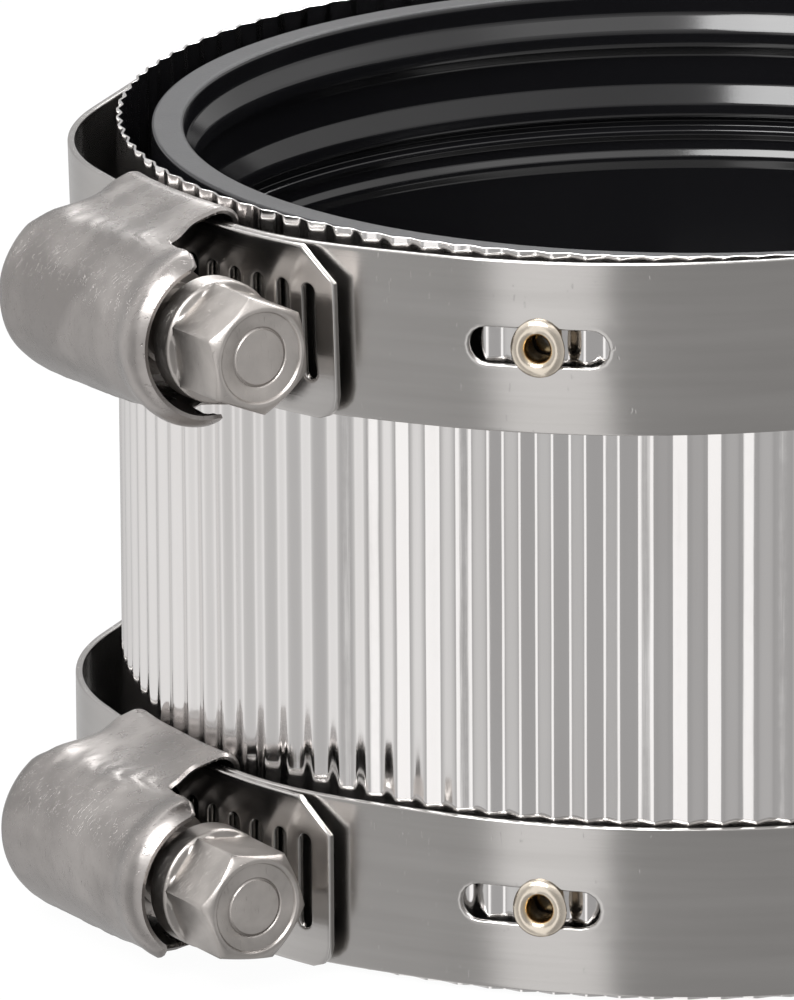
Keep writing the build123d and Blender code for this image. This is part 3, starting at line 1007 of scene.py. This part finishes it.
def screw_point(height, kind, degrees_):
    """Height and radius of a ring's point at an angle round the screw."""
    flat = min(hex_radius(degrees_), COLLAR_RADIUS - 0.04)
    if kind == "thread":
        lead = (height - degrees_ / 360 * PITCH) % PITCH - PITCH / 2
        climb = smoothstep(THREAD_FROM - 0.9, THREAD_FROM, height)
        climb *= 1 - smoothstep(THREAD_TO, THREAD_TO + 0.7, height)
        return height, WORM_CORE + (WORM_CREST - WORM_CORE) * (1 - smoothstep(0.26, 0.60, abs(lead))) * climb
    if kind == "foot":
        return height, max(min(flat + 0.22, COLLAR_RADIUS - 0.29), flat + 0.02)
    if kind == "fillet":
        return height, flat + 0.06
    if kind == "flat":
        return height, flat
    chamfer = HEAD_TO - (flat - RIM_RADIUS) * RIM_SLOPE - 0.05
    if kind == "flat's end":
        return chamfer - 0.14, flat
    if kind == "crest":
        return chamfer + 0.03, flat - 0.09
    return height, kind


def build_screw(side):
    """One skin, closed at both ends."""
    segments = 96
    rings = screw_rings()
    verts = []
    for height, kind in rings:
        for i in range(segments):
            phi = 360 * i / segments
            y, radius = screw_point(height, kind, phi)
            turn = math.radians(phi + HEX_TURN[side])
            verts.append((SCREW_X - radius * math.cos(turn), y, SCREW_Z + radius * math.sin(turn)))
    faces = []
    for r in range(len(rings) - 1):
        for i in range(segments):
            j = (i + 1) % segments
            low, high = r * segments, (r + 1) * segments
            faces.append((low + i, low + j, high + j, high + i))
    first, last = len(verts), len(verts) + 1
    verts += [(SCREW_X, rings[0][0], SCREW_Z), (SCREW_X, rings[-1][0], SCREW_Z)]
    top = (len(rings) - 1) * segments
    for i in range(segments):
        j = (i + 1) % segments
        faces.append((j, i, first))
        faces.append((top + i, top + j, last))
    obj = make_object(f"{side}_worm_screw", verts, faces, clamp_place(side), crease=42)
    stand_in(obj, f"{side}_screw", f"{side}_worm")
    finish_piece(obj, SCREW)


# ---------------- eyelet, saddle
def build_eyelet(side):
    """A rolled flange on the strap, the tube through the slot and a second flange behind the shield."""
    low, high = size_mm(f"{side}_eyelet")
    level = (low.z + high.z) / 2
    flange = (high.z - low.z) / 2
    face = 49.35  # how far out the flange on the strap sits
    inner = 46.6
    profile = [
        (1.07, inner + 0.1),
        (1.05, face - 0.55),
        (1.12, face - 0.22),
        (1.34, face - 0.02),
        (1.68, face + 0.07),
        (2.02, face - 0.02),
        (flange - 0.06, face - 0.20),
        (flange, face - 0.34),
        (flange - 0.10, face - 0.44),
        (1.42, face - 0.46),
        (1.40, inner + 0.4),
        (flange - 0.1, inner + 0.4),
        (flange, inner + 0.3),
        (flange - 0.02, inner + 0.1),
        (flange - 0.15, inner),
        (1.2, inner),
    ]
    verts, faces = lathe(list(reversed(profile)), 72)
    uneven = []
    for x, y, h in verts:
        angle = math.atan2(-y, x)
        grown = 1 + 0.035 * math.cos(2 * angle) + 0.012 * math.sin(3 * angle + (1 if side == "upper" else 2))
        uneven.append((x * grown, y * grown, h))
    obj = make_object(f"{side}_eyelet_ring", uneven, faces, crease=60)
    # The lathe's axis is laid along the outward direction, with its x axis vertical.
    out = polar(1, EYELET_ANGLE)
    turn = Matrix(((0, out.y, out.x), (0, -out.x, out.y), (1, 0, 0))).to_4x4()
    obj.matrix_world = Matrix.Translation((0, 0, level * MM)) @ turn
    stand_in(obj, f"{side}_eyelet", "shield_body")
    finish_piece(obj, EYELET)


def dress_saddle(side):
    """The saddle keeps its CAD shape, with softened edges."""
    node = frame["nodes"][f"{side}_saddle"]
    finish_piece(node, HOUSING)
    soften = node.modifiers.new("edge", "BEVEL")
    soften.width = 0.12 * MM
    soften.segments = 2
    soften.limit_method = "ANGLE"


build_gasket()
build_shield()
for side in SIDES:
    build_strap(side)
    build_housing(side)
    build_screw(side)
    build_eyelet(side)
    dress_saddle(side)


# ---------------- stage and light
SOFT_WHITE = (1.0, 0.99, 0.985, 1)


def azimuth_light(tree, vector):
    """Brightness of the studio by direction: a softbox left of the camera, dim on the camera's right."""
    x, y, _ = separate(tree, vector)
    angle = calc(tree, "ARCTAN2", x, calc(tree, "MULTIPLY", y, -1.0))
    share = calc(tree, "MULTIPLY_ADD", angle, 0.5 / math.pi, 0.5)
    wall = [(-180, 0.55), (-148, 0.62), (-118, 0.92), (-95, 0.98), (-75, 0.70), (-41, 0.50)]
    softbox = [(-36, 1.22), (-17, 1.18)]
    dim_side = [(-14, 0.45), (20, 0.43), (60, 0.58), (100, 0.75), (180, 0.55)]
    stops = wall + softbox + dim_side
    return ramp(tree, share, [((degrees_ + 180) / 360, grey) for degrees_, grey in stops])


def build_world():
    """White to the camera; to everything else the studio's walls and a strip of light overhead."""
    world = bpy.data.worlds.new("studio")
    bpy.context.scene.world = world
    world.use_nodes = True
    tree = world.node_tree
    tree.nodes.clear()
    direction = add_node(tree, "ShaderNodeTexCoord").outputs["Generated"]
    height = separate(tree, direction)[2]
    strip = [(0.30, 0.0), (0.50, 0.25), (0.70, 0.25), (0.74, 1.0), (0.84, 1.0), (0.88, 0.2)]
    overhead = calc(tree, "MULTIPLY", ramp(tree, height, strip), 1.1)
    strength = calc(tree, "ADD", azimuth_light(tree, direction), overhead)
    camera = add_node(tree, "ShaderNodeLightPath").outputs["Is Camera Ray"]
    white = add_node(tree, "ShaderNodeBackground", {"Color": (1, 1, 1, 1), "Strength": 1.0})
    lit = add_node(tree, "ShaderNodeBackground", {"Color": SOFT_WHITE, "Strength": strength})
    mixed = add_node(tree, "ShaderNodeMixShader", {0: camera, 1: lit.outputs[0], 2: white.outputs[0]})
    output = add_node(tree, "ShaderNodeOutputWorld")
    tree.links.new(mixed.outputs[0], output.inputs[0])


def build_floor():
    """A pale floor; what it sends into the metal follows the studio's bright and dim sides."""
    level = size_mm("shield")[0].z - 0.02
    reach = 2600
    corners = 64
    verts = [(*polar(reach, 360 * i / corners), level) for i in range(corners)]
    floor = make_object("floor", verts, [tuple(range(corners))], weighted=False)
    material, tree, shader = new_material("floor_paper")
    grain = stretched_noise(tree, object_position(tree), 40, (1, 1, 1), 2.0)
    feed(tree, shader, colour=mix_colour(tree, grain, (0.90, 0.90, 0.90), (0.93, 0.93, 0.93)), roughness=0.9)
    incoming = add_node(tree, "ShaderNodeNewGeometry").outputs["Incoming"]
    onward = add_node(tree, "ShaderNodeVectorMath", {0: incoming, "Scale": -1.0}, operation="SCALE")
    around = azimuth_light(tree, onward.outputs[0])
    sent = add_node(tree, "ShaderNodeEmission", {"Color": SOFT_WHITE, "Strength": around})
    paper = add_node(tree, "ShaderNodeEmission", {"Color": (1, 1, 1, 1), "Strength": 1.0})
    rays = add_node(tree, "ShaderNodeLightPath").outputs
    seen = calc(tree, "MULTIPLY", rays["Is Camera Ray"], 0.97)
    pale = add_node(tree, "ShaderNodeMixShader", {0: seen, 1: shader.outputs[0], 2: paper.outputs[0]})
    glossy = rays["Is Glossy Ray"]
    mixed = add_node(tree, "ShaderNodeMixShader", {0: glossy, 1: pale.outputs[0], 2: sent.outputs[0]})
    output = next(n for n in tree.nodes if n.type == "OUTPUT_MATERIAL")
    tree.links.new(mixed.outputs[0], output.inputs[0])
    floor.data.materials.append(material)


def add_area(name, location, size, power):
    """An area light in metres and watts, aimed at the coupling."""
    data = bpy.data.lights.new(name, "AREA")
    data.shape = "RECTANGLE"
    data.size, data.size_y = size
    data.energy = power
    light = bpy.data.objects.new(name, data)
    light.location = location
    light.rotation_euler = (-Vector(location)).to_track_quat("-Z", "Y").to_euler()
    light.visible_camera = False
    bpy.context.scene.collection.objects.link(light)


def build_camera():
    """Long-lens camera in front of the coupling and a little above it, aimed left of its centre."""
    distance = 1200.0
    elevation = math.radians(15.98)
    roll = math.radians(-0.02)
    view_height = 83.822  # what the frame's height covers at the coupling's distance
    aim_right, aim_down = -24.462, 2.660
    sensor = 36.0
    back = Vector((0, -math.cos(elevation), math.sin(elevation)))
    up = Vector((0, math.sin(elevation), math.cos(elevation)))
    right = Vector((1, 0, 0))

    def ray(dx, dy):
        """Way from the camera to a point right of and below the centre, in the plane square to the view."""
        x = dx * math.cos(roll) + dy * math.sin(roll)
        y = -dx * math.sin(roll) + dy * math.cos(roll)
        return (-back * distance + right * x - up * y).normalized()

    forward = ray(aim_right, aim_down)
    above = ray(aim_right, aim_down - 10)
    x_axis = forward.cross(above).normalized()
    y_axis = x_axis.cross(forward)
    data = bpy.data.cameras.new("camera")
    data.sensor_width = sensor
    data.lens = sensor * distance / view_height
    data.clip_start = 0.05
    data.clip_end = 20.0
    camera = bpy.data.objects.new("camera", data)
    rotation = Matrix((x_axis, y_axis, -forward)).transposed().to_4x4()
    camera.matrix_world = Matrix.Translation(back * distance * MM) @ rotation
    bpy.context.scene.collection.objects.link(camera)
    bpy.context.scene.camera = camera


build_world()
build_floor()
add_area("key", (-0.5, -0.9, 1.1), (0.9, 0.9), 22.0)
add_area("back", (0.3, 1.0, 0.9), (1.2, 0.5), 16.0)
build_camera()
view_settings = bpy.context.scene.view_settings
view_settings.view_transform = "Standard"
view_settings.look = "None"
